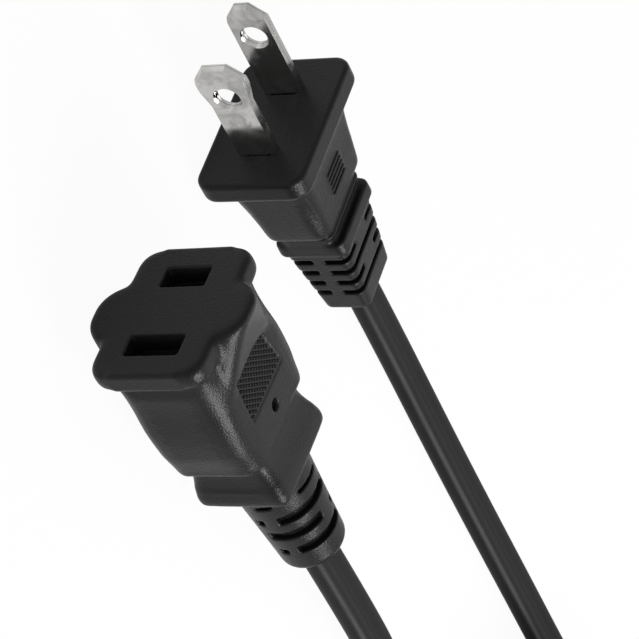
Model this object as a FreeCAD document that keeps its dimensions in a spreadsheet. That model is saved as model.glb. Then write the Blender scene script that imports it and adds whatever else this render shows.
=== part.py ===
import FreeCAD, Part
import math
import os
import Sketcher
from FreeCAD import Placement, Rotation, Vector

# A two-wire flat extension cord: a plug, its cord with the spare length coiled, and the cord's connector.
# Each end is built lying on its face: X runs across the blades, Y down to the floor, Z from the face to
# the cord. A Placement then lays the end on the floor with its face towards -Y.

doc = FreeCAD.newDocument("extension_cord")
sheet = doc.addObject("Spreadsheet::Sheet", "sizes")

# Each size has its name, its value in mm or degrees, and what it is.
sizes = [
    ("blade_spacing", 12.7, "between the middles of the two blades"),
    ("blade_thick", 1.52, "blade sheet"),
    ("blade_long", 18.2, "blade out of the face"),
    ("blade_wide_half", 3.97, "half width of the neutral blade's paddle"),
    ("blade_narrow_half", 3.175, "half width of the line blade"),
    ("blade_root_half", 3.175, "half width of either blade at the face"),
    ("blade_paddle", 13.9, "where the paddle starts to narrow"),
    ("blade_neck", 10.6, "where the paddle has reached the root width"),
    ("blade_tip_side", 2.0, "tip corner across"),
    ("blade_tip_long", 2.2, "tip corner along"),
    ("blade_tip_bevel", 0.45, "bevel of the tip's flat sides"),
    ("hole_radius", 1.98, "hole in each blade"),
    ("hole_from_face", 12.0, "middle of the hole from the face"),
    ("tail_half", 2.4, "half width of the blade's tail in the moulding"),
    ("tail_end", 8.0, "end of the tail"),
    ("crimp_x", 5.9, "middle of the crimp barrel"),
    ("crimp_radius", 1.9, "outside of the crimp barrel"),
    ("crimp_start", 7.0, "start of the crimp barrel"),
    ("crimp_end", 11.6, "end of the crimp barrel"),
    ("strand_radius", 0.95, "bundle of copper strands"),
    ("lead_radius", 1.7, "insulated lead after the cord is slit"),
    ("lobe_radius", 1.85, "one lobe of the flat cord"),
    ("lobe_offset", 1.75, "middle of the lobe from the middle of the cord"),
    ("plug_half_x", 13.4, "plug face half width across the blades"),
    ("plug_half_y", 9.2, "plug face half height"),
    ("plug_corner", 3.0, "plug face corner"),
    ("plug_flange", 3.7, "plug flange depth"),
    ("plug_rear", 17.9, "rear of the plug's grip"),
    ("plug_collar", 20.6, "front of the collar"),
    ("plug_relief", 23.2, "front of the strain relief"),
    ("plug_end", 37.4, "end of the strain relief"),
    ("plug_rest", 4.07, "half height of the strain relief's end, which touches the floor"),
    ("plug_split", 24.0, "where the cord is slit into two leads"),
    ("edge_round", 0.7, "rounding of the long outer edges"),
    ("bridge_start", 1.6, "front of the block that holds the blades"),
    ("bridge_end", 6.0, "rear of the block that holds the blades"),
    ("face_y", -9.6, "plug face in the part's frame"),
    ("conn_half_x", 12.2, "connector face half width"),
    ("conn_half_y", 9.3, "connector face half height"),
    ("conn_corner", 3.2, "connector face corner"),
    ("conn_flange", 3.4, "connector flange depth"),
    ("conn_lobe", 13.6, "finger rest, tip from the middle"),
    ("conn_rear", 24.5, "rear of the connector's body"),
    ("conn_rim", 30.6, "front of the rim"),
    ("conn_relief", 32.8, "front of the strain relief"),
    ("conn_end", 52.5, "end of the strain relief"),
    ("conn_split", 36.0, "where the cord is slit into two leads"),
    ("patch_floor", 7.88, "floor of the grip patch from the middle"),
    ("slot_thick", 3.0, "slot in the face, across"),
    ("slot_wide_half", 4.2, "half length of the neutral slot"),
    ("slot_narrow_half", 3.475, "half length of the line slot"),
    ("carrier_start", 3.0, "front of the contact carrier"),
    ("carrier_end", 20.8, "rear of the contact carrier"),
    ("well_end", 20.0, "end of the wells in the carrier"),
    ("conn_x", 43.9, "connector face in the part's frame"),
    ("conn_y", -17.4, "connector face in the part's frame"),
    ("conn_z", 13.16, "connector face in the part's frame, its lower finger rest on the floor"),
    ("conn_pitch", 6.2, "the connector's rear end hangs by"),
    ("conn_yaw", 2.4, "the connector is turned by"),
    ("coil_x", 60.5, "middle of the coil"),
    ("coil_y", 135.0, "middle of the coil"),
    ("coil_inner", 28.1, "inside radius of the coil"),
    ("coil_outer", 44.5, "outside radius of the coil"),
    ("coil_high", 14.6, "height of the coil"),
    ("turn_radius", 42.6, "middle of the outermost turn"),
    ("stub_long", 23.0, "straight start of the first and last turn"),
    ("plug_heading", 6.0, "heading of the plug's cord at the coil, from +Y towards +X"),
    ("conn_heading", 50.0, "heading of the connector's cord at the coil, from +Y towards +X"),
    ("low_turn", 3.65, "height of the middle of the lower turns"),
    ("climb_end", 9.6, "height of the connector's cord where it reaches the coil"),
]
for row, (name, value, note) in enumerate(sizes, 1):
    sheet.set("A%d" % row, note)
    sheet.set("B%d" % row, str(value))
    sheet.setAlias("B%d" % row, name)
doc.recompute()
size = {name: float(sheet.get(name)) for name, value, note in sizes}


def formula(text):
    """Write the sheet's name before each size in a formula."""
    words = {name: "sizes." + name for name in size}
    parts = text.replace("(", "( ").replace(")", " )").split(" ")
    return " ".join(words.get(part, part) for part in parts)


def value_of(text):
    """The number that a formula of sheet names stands for now."""
    total = text
    for name in sorted(size, key=len, reverse=True):
        total = total.replace(name, repr(size[name]))
    return FreeCAD.Units.Quantity(total).Value


def make(kind, name, at=("0", "0", "0"), turn=None, **values):
    """A primitive whose sizes and place are numbers or formulas of sheet names."""
    thing = doc.addObject(kind, name)
    thing.Placement = Placement(Vector(0, 0, 0), turn or Rotation())
    for key, value in values.items():
        if isinstance(value, str):
            thing.setExpression(key, formula(value))
        else:
            setattr(thing, key, value)
    for axis, value in zip("xyz", at):
        thing.setExpression(".Placement.Base." + axis, formula(value))
    return thing


def box(name, half_x, half_y, start, end, x="0", y="0"):
    """A block about the line x, y from one depth to another."""
    return make("Part::Box", name, ("%s - ( %s )" % (x, half_x), "%s - ( %s )" % (y, half_y), start),
                Length="2 * ( %s )" % half_x, Width="2 * ( %s )" % half_y,
                Height="%s - ( %s )" % (end, start))


def rod(name, radius, start, end, x="0", y="0", angle=360.0, turn=0.0):
    """A round bar along the depth, or a sector of it."""
    return make("Part::Cylinder", name, (x, y, start), Rotation(Vector(0, 0, 1), turn),
                Radius=radius, Height="%s - ( %s )" % (end, start), Angle=angle)


def cut(name, base, tool):
    thing = doc.addObject("Part::Cut", name)
    thing.Base, thing.Tool = base, tool
    return thing


def fuse(name, *shapes):
    thing = doc.addObject("Part::MultiFuse", name)
    thing.Shapes = list(shapes)
    return thing


def plane_of(body, role):
    return next(item for item in body.Origin.OriginFeatures if item.Role == role)


def rounded(body, name, half_x, half_y, corner, depth):
    """A rounded rectangle about the body's axis at some depth, with its three sizes tied to the sheet."""
    sketch = body.newObject("Sketcher::SketchObject", name)
    sketch.AttachmentSupport = [(plane_of(body, "XY_Plane"), "")]
    sketch.MapMode = "FlatFace"
    sketch.setExpression(".AttachmentOffset.Base.z", formula(depth))
    wide, high, round_by = value_of(half_x), value_of(half_y), value_of(corner)
    flat, tall = wide - round_by, high - round_by
    lines = [((flat, -high), (-flat, -high)), ((-wide, -tall), (-wide, tall)),
             ((-flat, high), (flat, high)), ((wide, tall), (wide, -tall))]
    for start, end in lines:
        sketch.addGeometry(Part.LineSegment(Vector(*start, 0), Vector(*end, 0)))
    middles = [((-flat, -tall), 180, 270), ((-flat, tall), 90, 180), ((flat, tall), 0, 90),
               ((flat, -tall), 270, 360)]
    for (x, y), start, end in middles:
        circle = Part.Circle(Vector(x, y, 0), Vector(0, 0, 1), round_by)
        sketch.addGeometry(Part.ArcOfCircle(circle, math.radians(start), math.radians(end)))
    for side in range(4):
        sketch.addConstraint(Sketcher.Constraint("Tangent", side, 2, 4 + side, 2))
        sketch.addConstraint(Sketcher.Constraint("Tangent", 4 + side, 1, (side + 1) % 4, 1))
        sketch.addConstraint(Sketcher.Constraint("Horizontal" if side % 2 == 0 else "Vertical", side))
    for arc in (5, 6, 7):
        sketch.addConstraint(Sketcher.Constraint("Equal", 4, arc))
    sketch.addConstraint(Sketcher.Constraint("Symmetric", 4, 3, 6, 3, -1, 1))
    named = [("across", Sketcher.Constraint("DistanceX", 1, 1, 3, 1, 2 * wide), "2 * ( %s )" % half_x),
             ("high", Sketcher.Constraint("DistanceY", 0, 1, 2, 1, 2 * high), "2 * ( %s )" % half_y),
             ("corner", Sketcher.Constraint("Radius", 4, round_by), corner)]
    for label, constraint, text in named:
        index = sketch.addConstraint(constraint)
        sketch.renameConstraint(index, label)
        sketch.setExpression("Constraints." + label, formula(text))
    return sketch


def pad(body, name, outline, start, end):
    """A rounded block: outline gives its half width, half height and corner."""
    sketch = rounded(body, name + "_outline", *outline, start)
    feature = body.newObject("PartDesign::Pad", name)
    feature.Profile = sketch
    feature.setExpression("Length", formula("%s - ( %s )" % (end, start)))
    return feature


def loft(body, name, outlines, ruled=False):
    """A smooth body through rounded outlines: each gives half width, half height, corner and depth."""
    sketches = [rounded(body, "%s_outline_%d" % (name, index), *outline)
                for index, outline in enumerate(outlines)]
    feature = body.newObject("PartDesign::AdditiveLoft", name)
    feature.Profile = sketches[0]
    feature.Sections = sketches[1:]
    feature.Ruled = ruled
    return feature


def round_edges(body, name, base, radius, wanted):
    """Round those edges of the last feature for which the test of their middle and box holds."""
    doc.recompute()
    names = ["Edge%d" % index for index, edge in enumerate(base.Shape.Edges, 1) if wanted(edge)]
    feature = body.newObject("PartDesign::Fillet", name)
    feature.Base = (base, names)
    if isinstance(radius, str):
        feature.setExpression("Radius", formula(radius))
    else:
        feature.Radius = radius
    return feature


def at_depth(*depths):
    """A test for edges that lie flat at one of these depths."""
    return lambda edge: any(abs(edge.BoundBox.ZMin - depth) < 1e-4 and abs(edge.BoundBox.ZMax - depth) < 1e-4
                            for depth in depths)


def polygon(body, name, plane, corners, offset):
    """A closed outline of straight sides, its corners given as pairs of formulas and tied to the sheet."""
    sketch = body.newObject("Sketcher::SketchObject", name)
    sketch.AttachmentSupport = [(plane_of(body, plane), "")]
    sketch.MapMode = "FlatFace"
    sketch.setExpression(".AttachmentOffset.Base.z", formula(offset))
    points = [Vector(value_of(x), value_of(y), 0) for x, y in corners]
    for index, point in enumerate(points):
        sketch.addGeometry(Part.LineSegment(point, points[(index + 1) % len(points)]))
    for index in range(len(points)):
        sketch.addConstraint(Sketcher.Constraint("Coincident", index, 2, (index + 1) % len(points), 1))
    for index, (x, y) in enumerate(corners):
        for kind, text, amount in (("DistanceX", x, points[index].x), ("DistanceY", y, points[index].y)):
            if abs(amount) < 1e-9:
                sketch.addConstraint(Sketcher.Constraint("PointOnObject", index, 1, -2 if kind == "DistanceX" else -1))
                continue
            number = sketch.addConstraint(Sketcher.Constraint(kind, -1, 1, index, 1, amount))
            label = "%s_%d" % (kind[-1].lower(), index)
            sketch.renameConstraint(number, label)
            sketch.setExpression("Constraints." + label, formula(text))
    return sketch


def tube(name, points, radius):
    """A round bar along a route of straight runs joined by arcs."""
    path = doc.addObject("Part::Feature", name + "_route")
    path.Shape = route_wire(points)
    ring = doc.addObject("Part::Feature", name + "_section")
    along = points[1] - points[0]
    ring.Shape = Part.Wire(Part.Circle(points[0], along, radius).toShape())
    sweep = doc.addObject("Part::Sweep", name)
    sweep.Sections = [ring]
    sweep.Spine = (path, [])
    sweep.Solid = True
    sweep.Frenet = False
    return sweep


def route_wire(points):
    """Straight runs with an arc at each corner that takes 0.45 of the shorter run on either side."""
    edges, start = [], points[0]
    radii = []
    for before, corner, after in zip(points, points[1:], points[2:]):
        back, ahead = (before - corner), (after - corner)
        reach = 0.45 * min(back.Length, ahead.Length)
        back.normalize()
        ahead.normalize()
        turn = math.pi - back.getAngle(ahead)
        radius = reach / math.tan(turn / 2)
        radii.append(radius)
        enter, leave = corner + back * reach, corner + ahead * reach
        inward = back + ahead
        inward.normalize()
        centre = corner + inward * math.hypot(radius, reach)
        middle = centre - inward * radius
        edges.append(Part.LineSegment(start, enter).toShape())
        edges.append(Part.Arc(enter, middle, leave).toShape())
        start = leave
    edges.append(Part.LineSegment(start, points[-1]).toShape())
    length = sum(edge.Length for edge in edges)
    print("bend radii", ["%.1f" % radius for radius in radii], "length %.1f" % length)
    return Part.Wire(edges)


# Where the two ends lie. The plug rests on its flange and on the end of its strain relief.
stand = Rotation(Vector(1, 0, 0), -90)
round_by = size["edge_round"]
front_arm = Vector(0, size["plug_half_y"] - round_by, size["plug_flange"] - round_by)
rear_arm = Vector(0, size["plug_rest"] - round_by, size["plug_end"] - round_by)
plug_tilt = math.degrees(math.atan2(front_arm.y - rear_arm.y, rear_arm.z - front_arm.z))
lean = math.radians(plug_tilt)
plug_height = front_arm.z * math.sin(lean) + front_arm.y * math.cos(lean) + round_by
plug_place = Placement(Vector(0, size["face_y"], plug_height), Rotation(Vector(1, 0, 0), -plug_tilt) * stand)
conn_turn = Rotation(Vector(0, 0, 1), -size["conn_yaw"]) * Rotation(Vector(1, 0, 0), -size["conn_pitch"])
conn_place = Placement(Vector(size["conn_x"], size["conn_y"], size["conn_z"]), conn_turn * stand)
nodes = []


def node(thing, label, place):
    """Name a finished piece and lay it on the floor with its end of the cord."""
    thing.Label = label
    thing.Placement = place.multiply(thing.Placement) if place else thing.Placement
    nodes.append(thing)
    return thing


# Blades
def blade(prefix, side, half):
    """A blade with its paddle, bevelled tip, hole, tail and crimp barrel. Side is 1 or -1."""
    body = doc.addObject("PartDesign::Body", prefix + "_blade_body")
    tip, root = "-1 * blade_long", "blade_root_half"
    corners = [("tail_end", "tail_half"), ("0", "tail_half"), ("0", root), ("-1 * blade_neck", root),
               ("-1 * blade_paddle", half), ("blade_tip_long - blade_long", half),
               (tip, half + " - blade_tip_side")]
    if half == root:
        corners.pop(4)
    outline = [(y, x) for x, y in corners] + [("-1 * ( %s )" % y, x) for x, y in reversed(corners)]
    # The YZ plane has Y across and Z along the depth, so each corner is across, along.
    sheet_outline = polygon(body, prefix + "_blade_outline", "YZ_Plane", outline, "%d * blade_spacing / 2" % side)
    sheet_pad = body.newObject("PartDesign::Pad", prefix + "_blade_sheet")
    sheet_pad.Profile = sheet_outline
    sheet_pad.setExpression("Length", formula("blade_thick"))
    sheet_pad.Midplane = True
    doc.recompute()
    tips = ["Edge%d" % index for index, edge in enumerate(sheet_pad.Shape.Edges, 1)
            if edge.CenterOfMass.z < -size["blade_long"] + size["blade_tip_long"]
            and edge.BoundBox.XLength < 1e-4]
    bevel = body.newObject("PartDesign::Chamfer", prefix + "_blade_bevel")
    bevel.Base = (sheet_pad, tips)
    bevel.setExpression("Size", formula("blade_tip_bevel"))
    turn = Rotation(Vector(0, 1, 0), 90)
    centre = "%d * blade_spacing / 2" % side
    hole = make("Part::Cylinder", prefix + "_hole", (centre + " - blade_thick", "0", "-1 * hole_from_face"), turn,
                Radius="hole_radius", Height="2 * blade_thick")
    sinks = []
    for way in (1, -1):
        sinks.append(make("Part::Cone", "%s_hole_rim_%s" % (prefix, "out" if way > 0 else "in"),
                          ("%s + ( %d * ( blade_thick / 2 - 0.25 ) )" % (centre, way), "0", "-1 * hole_from_face"),
                          Rotation(Vector(0, 1, 0), 90 * way), Radius1="hole_radius", Radius2="hole_radius + 0.35",
                          Height=0.35))
    barrel = rod(prefix + "_barrel", "crimp_radius", "crimp_start", "crimp_end", "%d * crimp_x" % side)
    metal = fuse(prefix + "_blade_metal", body, barrel)
    bore = rod(prefix + "_bore", "strand_radius", "crimp_start", "crimp_end", "%d * crimp_x" % side)
    drill = fuse(prefix + "_drill", hole, bore, *sinks)
    return cut(prefix + "_blade_cut", metal, drill), metal


wide_blade, wide_metal = blade("wide", 1, "blade_wide_half")
narrow_blade, narrow_metal = blade("narrow", -1, "blade_narrow_half")


# Leads
def leads(prefix, side, front, barrel_end, split, barrel_x, lead_start):
    """Copper strands from the crimp barrel to the slit end of the cord, and their insulation."""
    x = side * barrel_x
    x_cord = side * size["lobe_offset"]
    reach = split - barrel_end
    points = [Vector(x, 0, front), Vector(x, 0, barrel_end + 0.18 * reach),
              Vector(x_cord, 0, split - 0.18 * reach), Vector(x_cord, 0, split)]
    strands = tube(prefix + "_strands_tube", points, size["strand_radius"])
    cover_points = [Vector(x, 0, lead_start)] + points[1:]
    cover = tube(prefix + "_lead_tube", cover_points, size["lead_radius"])
    return strands, cover


def lead_pair(end, front, barrel_end, split, barrel_x, place):
    """Both leads of one end as four nodes. Returns what the moulding around them leaves out."""
    tools = []
    for wire, side in (("neutral", 1), ("line", -1)):
        prefix = "%s_%s" % (end, wire)
        strands, cover = leads(prefix, side, front, barrel_end, split, barrel_x, barrel_end)
        tools += [strands, cover]
        node(cut(prefix + "_lead_cut", cover, strands), prefix + "_lead", place)
        plain = rod(prefix + "_strands_front", "strand_radius", str(front), str(front + 0.2), str(side * barrel_x))
        node(fuse(prefix + "_strands_fused", strands, plain), prefix + "_strands", place)
    return tools


def twin_bar(name, start, end):
    """The straight flat cord inside a moulding, for the bore that it lies in."""
    lobes = [rod("%s_lobe_%s" % (name, mark), "lobe_radius", start, end, "%d * lobe_offset" % side)
             for mark, side in (("a", 1), ("b", -1))]
    return fuse(name, *lobes)


plug_tools = lead_pair("plug", size["crimp_start"], size["crimp_end"], size["plug_split"], size["crimp_x"],
                       plug_place)

# Bridge
bridge = box("bridge_block", "blade_spacing / 2 + 2.6", "plug_half_y - 4.6", "bridge_start", "bridge_end")
bridge_cut = cut("bridge_cut", bridge, fuse("bridge_tool", wide_metal, narrow_metal))

# Plug moulding
plug = doc.addObject("PartDesign::Body", "plug_shell")
flange = pad(plug, "plug_flange_pad", ("plug_half_x", "plug_half_y", "plug_corner"), "0", "plug_flange")
flange_round = round_edges(plug, "plug_flange_round", flange, "edge_round", at_depth(0.0, size["plug_flange"]))
grip = loft(plug, "plug_grip", [("10.9", "8.3", "2.6", "2.7"), ("10.4", "6.9", "2.6", "5.8"),
                                ("10.0", "6.1", "2.6", "9.4"), ("9.6", "5.75", "2.6", "13.5"),
                                ("9.0", "5.6", "2.4", "plug_rear")])
grip_round = round_edges(plug, "plug_grip_round", grip, 1.2, at_depth(size["plug_rear"]))
neck = pad(plug, "plug_neck", ("7.4", "4.5", "1.8"), "plug_rear - 1", "plug_collar + 1")
ridge = pad(plug, "plug_neck_ridge", ("7.5", "5.1", "1.8"), "plug_rear + 1.05", "plug_rear + 1.6")
collar = pad(plug, "plug_collar_pad", ("7.35", "6.15", "1.8"), "plug_collar", "plug_relief")
collar_round = round_edges(plug, "plug_collar_round", collar, 0.5, at_depth(size["plug_relief"]))
relief = loft(plug, "plug_relief_cone", [("6.9", "5.4", "1.6", "plug_relief - 0.4"),
                                         ("5.7", "4.0", "1.5", "plug_end")], True)
relief_round = round_edges(plug, "plug_relief_round", relief, "edge_round", at_depth(size["plug_end"]))
plug.Tip = relief_round


def groove(name, middle, half_x, half_y, top_split):
    """One level of the strain relief's slots: a frame-shaped cutter that leaves ribs between its slots."""
    start, end = "%.2f - 0.5" % middle, "%.2f + 0.5" % middle
    outer = box(name + "_outer", "12", "10", start, end)
    left = [box(name + "_inner", str(half_x), str(half_y), start, end),
            box(name + "_side_rib", "13", "1.0", start, end)]
    if top_split:
        left.append(box(name + "_top_rib", "2.4", "11", start, end))
    return cut(name, outer, fuse(name + "_left", *left))


plug_grooves = []
for level, middle in enumerate((25.1, 27.75, 30.4, 32.95), 1):
    # The slots are as deep everywhere, so their floor narrows with the strain relief.
    floor_x = 5.75 - 0.087 * (middle - 23.2)
    floor_y = 4.3 - 0.101 * (middle - 23.2)
    plug_grooves.append(groove("plug_groove_%d" % level, middle, floor_x, floor_y, level % 2 == 1))
plug_ridges = []
for mark, side in (("top", -1), ("low", 1)):
    for index, depth in enumerate((9.9, 10.85, 11.8, 12.75, 13.7), 1):
        # The ridges follow the slope of the grip's flat side.
        height = "%.3f" % (side * (5.98 - 0.062 * (depth - 9.6)))
        plug_ridges.append(box("plug_grip_ridge_%s_%d" % (mark, index), "2.8", "0.32", "%.2f - 0.25" % depth,
                               "%.2f + 0.25" % depth, "0", height))
plug_solid = fuse("plug_ridged", plug, *plug_ridges)
plug_bore = twin_bar("plug_cord_bore", "plug_split", "plug_end + 1")
plug_core = fuse("plug_core", wide_metal, narrow_metal, bridge, plug_bore, *plug_tools, *plug_grooves)
plug_body = cut("plug_body_cut", plug_solid, plug_core)
for thing, label in ((plug_body, "plug_body"), (wide_blade, "wide_blade"), (narrow_blade, "narrow_blade"),
                     (bridge_cut, "blade_bridge")):
    node(thing, label, plug_place)

# Connector moulding
connector = doc.addObject("PartDesign::Body", "connector_shell")
face_pad = pad(connector, "conn_flange_pad", ("conn_half_x", "conn_half_y", "conn_corner"), "0", "conn_flange")
face_round = round_edges(connector, "conn_flange_round", face_pad, 0.6, at_depth(0.0, size["conn_flange"]))
rests = loft(connector, "conn_finger_rests", [("5.1", "conn_lobe", "5.0", "0"), ("7.4", "10.9", "4.2", "5"),
                                              ("9.4", "8.0", "2.6", "11.5")])
rests_round = round_edges(connector, "conn_rests_round", rests, 0.6,
                          lambda edge: at_depth(0.0)(edge) and max(-edge.BoundBox.YMin, edge.BoundBox.YMax) > 10)
block = loft(connector, "conn_block", [("10.5", "8.0", "2.4", "conn_flange - 0.8"), ("10.4", "8.1", "2.6", "14"),
                                       ("10.2", "7.5", "2.6", "conn_rear")])
block_round = round_edges(connector, "conn_block_round", block, 1.2, at_depth(size["conn_rear"]))
throat = pad(connector, "conn_throat", ("8.2", "6.6", "2.0"), "conn_rear - 1.5", "26.1")
flare = loft(connector, "conn_flare", [("8.2", "6.6", "2.0", "26"), ("9.0", "7.7", "2.0", "29.6")], True)
waist = pad(connector, "conn_waist", ("8.72", "7.42", "1.9"), "29.5", "conn_rim + 0.1")
rim = pad(connector, "conn_rim_pad", ("9.1", "7.8", "2.0"), "conn_rim", "conn_relief")
rim_round = round_edges(connector, "conn_rim_round", rim, 0.7, at_depth(size["conn_relief"]))
connector.Tip = rim_round

relief_radii = [("conn_relief - 0.2", "38.6", 6.65, 6.25), ("38.6", "46", 6.25, 5.75),
                ("46", "conn_end", 5.75, 5.35)]
cones = [make("Part::Cone", "conn_relief_cone_%d" % index, ("0", "0", start), Radius1=first, Radius2=last,
              Height="%s - ( %s )" % (end, start))
         for index, (start, end, first, last) in enumerate(relief_radii, 1)]
relief_bar = fuse("conn_relief_bar", *cones)
relief_soft = doc.addObject("Part::Fillet", "conn_relief_round")
relief_soft.Base = relief_bar
doc.recompute()
relief_soft.Edges = [(index, 1.2, 1.2) for index, edge in enumerate(relief_bar.Shape.Edges, 1)
                     if at_depth(size["conn_end"])(edge)]
# Each slot of the round strain relief: the depth of its middle, its width, the angle where it starts, counted
# from +X towards the side that faces up, and how far it goes round.
slots = [(36.5, 0.7, -7, 26), (36.5, 0.7, 60, 53), (40.0, 1.7, 14, 106), (43.6, 1.7, -16, 93),
         (47.3, 1.7, 16, 107), (40.3, 1.4, -22, 14), (44.6, 1.2, 110, 14), (47.6, 1.2, -16, 16)]
slot_cutters = []
for index, (middle, width, first, sweep) in enumerate(slots, 1):
    for mark, half_turn in (("near", 0), ("far", 180)):
        name = "conn_slot_%d_%s" % (index, mark)
        start, end = str(middle - width / 2), str(middle + width / 2)
        # Angles run from +X towards the top of the connector, which is -Y here.
        turn = half_turn - first - sweep
        ring = rod(name + "_ring", "9", start, end, angle=float(sweep), turn=float(turn))
        inner_radius = 6.65 - 0.07 * (middle - 32.8) - 1.3
        slot_cutters.append(cut(name, ring, rod(name + "_core", str(inner_radius), start, end)))


# Contact carrier and contacts
def contact(prefix, side, half):
    """A folded contact: two springs that bow towards each other, a rear bridge and a crimp barrel."""
    body = doc.addObject("PartDesign::Body", prefix + "_contact_springs")
    half_text = half + " - 0.4"
    centre = "%d * blade_spacing / 2" % side
    profile = [(1.55, 4.2), (0.72, 6.6), (0.95, 12.0), (1.25, 18.6), (0.4, 19.2), (0.4, 19.7), (1.7, 19.0),
               (1.45, 12.0), (1.25, 6.7), (2.0, 4.4)]
    outline = []
    for way in (1, -1):
        steps = [(way * across, along) for across, along in profile]
        outline.append([(("%s + ( %.3f )" % (centre, across)), "%.3f" % along) for across, along in steps])
    springs = []
    for mark, corners in zip("ab", outline):
        flat = body.newObject("Sketcher::SketchObject", "%s_spring_outline_%s" % (prefix, mark))
        flat.AttachmentSupport = [(plane_of(body, "XZ_Plane"), "")]
        flat.MapMode = "FlatFace"
        points = [Vector(value_of(x), value_of(z), 0) for x, z in corners]
        for index, point in enumerate(points):
            flat.addGeometry(Part.LineSegment(point, points[(index + 1) % len(points)]))
        for index in range(len(points)):
            flat.addConstraint(Sketcher.Constraint("Coincident", index, 2, (index + 1) % len(points), 1))
            for kind, text, amount in (("DistanceX", corners[index][0], points[index].x),
                                       ("DistanceY", corners[index][1], points[index].y)):
                number = flat.addConstraint(Sketcher.Constraint(kind, -1, 1, index, 1, amount))
                flat.renameConstraint(number, "%s_%d" % (kind[-1].lower(), index))
                flat.setExpression("Constraints.%s_%d" % (kind[-1].lower(), index), formula(text))
        spring = body.newObject("PartDesign::Pad", "%s_spring_%s" % (prefix, mark))
        spring.Profile = flat
        spring.setExpression("Length", formula("2 * ( %s )" % half_text))
        spring.Midplane = True
        springs.append(spring)
        doc.recompute()
        if mark == "a":
            base_plate = pad(body, prefix + "_contact_plate", ("1.25", "2.2", "0.3"), "19.1", "19.9")
            plate_sketch = base_plate.Profile[0]
            plate_sketch.setExpression(".AttachmentOffset.Base.x", formula(centre))
    body.Tip = springs[-1]
    barrel_x = "%d * 5.6" % side
    barrel = rod(prefix + "_contact_barrel", "crimp_radius", "19.4", "24.2", barrel_x)
    metal = fuse(prefix + "_contact_metal", body, barrel)
    bore = rod(prefix + "_contact_bore", "strand_radius", "20.2", "24.2", barrel_x)
    room = rod(prefix + "_barrel_room", "crimp_radius", "19.4", "24.2", barrel_x)
    return cut(prefix + "_contact_cut", metal, bore), metal, room


neutral_contact, neutral_metal, neutral_room = contact("neutral", 1, "slot_wide_half")
line_contact, line_metal, line_room = contact("line", -1, "slot_narrow_half")
conn_tools = lead_pair("connector", 20.2, 24.2, size["conn_split"], 5.6, conn_place)

carrier = box("carrier_block", "blade_spacing / 2 + 3.2", "5.4", "carrier_start", "carrier_end")
wells, mouths = [], []
for wire, side, half in (("neutral", 1, "slot_wide_half"), ("line", -1, "slot_narrow_half")):
    middle_x = "%d * blade_spacing / 2" % side
    wells.append(box(wire + "_well", "2.2", half, "4.0", "well_end", middle_x))
    mouths.append(box(wire + "_mouth", "slot_thick / 2", half, "-1", "4.5", middle_x))
carrier_cut = cut("carrier_cut", carrier, fuse("carrier_tool", *wells, *mouths, neutral_room, line_room))


def bevel_mouth(name, side, half):
    """The bevel around a slot in the connector's face, wider in front than behind."""
    body = doc.addObject("PartDesign::Body", name)
    shape = loft(body, name + "_loft", [("slot_thick / 2 + 0.55", half + " + 0.3", "0.2", "-0.3"),
                                        ("slot_thick / 2", half, "0.15", "1.3")], True)
    sections = [item[0] if isinstance(item, tuple) else item for item in shape.Sections]
    for sketch in [shape.Profile[0]] + sections:
        sketch.setExpression(".AttachmentOffset.Base.x", formula("%d * blade_spacing / 2" % side))
    return body


bevels = [bevel_mouth("neutral_bevel", 1, "slot_wide_half"),
          bevel_mouth("line_bevel", -1, "slot_narrow_half")]
dimple = make("Part::Cylinder", "conn_dimple", ("0", "-7.35", "20.3"), Rotation(Vector(1, 0, 0), 90), Radius=1.0,
              Height=2.0)


def grip_patch(name, start):
    """A tool for the shallow shield-shaped patch on one of the connector's flat sides."""
    body = doc.addObject("PartDesign::Body", name)
    corners = [("-5", "10.6"), ("-2.6", "9.3"), ("0", "8.8"), ("2.8", "8.7"), ("5.2", "9.2"), ("6", "17.4"),
               ("-6", "17.6")]
    outline = polygon(body, name + "_outline", "XZ_Plane", corners, start)
    feature = body.newObject("PartDesign::Pad", name + "_pad")
    feature.Profile = outline
    feature.Length = 2.0
    return body


patches = [grip_patch("conn_patch_top", "patch_floor"), grip_patch("conn_patch_low", "-1 * patch_floor - 2")]
conn_solid = fuse("conn_solid", connector, relief_soft)
conn_bore = twin_bar("conn_cord_bore", "conn_split", "conn_end + 1")
conn_core = fuse("conn_core", carrier, neutral_metal, line_metal, conn_bore, dimple, *patches, *conn_tools, *mouths,
                 *bevels, *slot_cutters)
connector_body = cut("connector_body_cut", conn_solid, conn_core)
for thing, label in ((connector_body, "connector_body"), (carrier_cut, "contact_carrier"),
                     (neutral_contact, "neutral_contact"), (line_contact, "line_contact")):
    node(thing, label, conn_place)


# Cord: each route starts inside its moulding, where the cord is slit, and ends at the coil.
def along_end(place, depth):
    return place.multVec(Vector(0, 0, depth))


coil_middle = Vector(size["coil_x"], size["coil_y"], 0)


def touch(heading, side, height):
    """Where a cord with this heading, in degrees from +Y to +X, meets the outermost turn from one side."""
    angle = math.radians(heading)
    across = Vector(math.cos(angle), -math.sin(angle), 0)
    return coil_middle + across * (side * size["turn_radius"]) + Vector(0, 0, height)


def heading_vector(heading):
    angle = math.radians(heading)
    return Vector(math.sin(angle), math.cos(angle), 0)


plug_heading, conn_heading = size["plug_heading"], size["conn_heading"]
plug_touch = touch(plug_heading, -1, size["low_turn"]) - heading_vector(plug_heading) * size["stub_long"]
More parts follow.
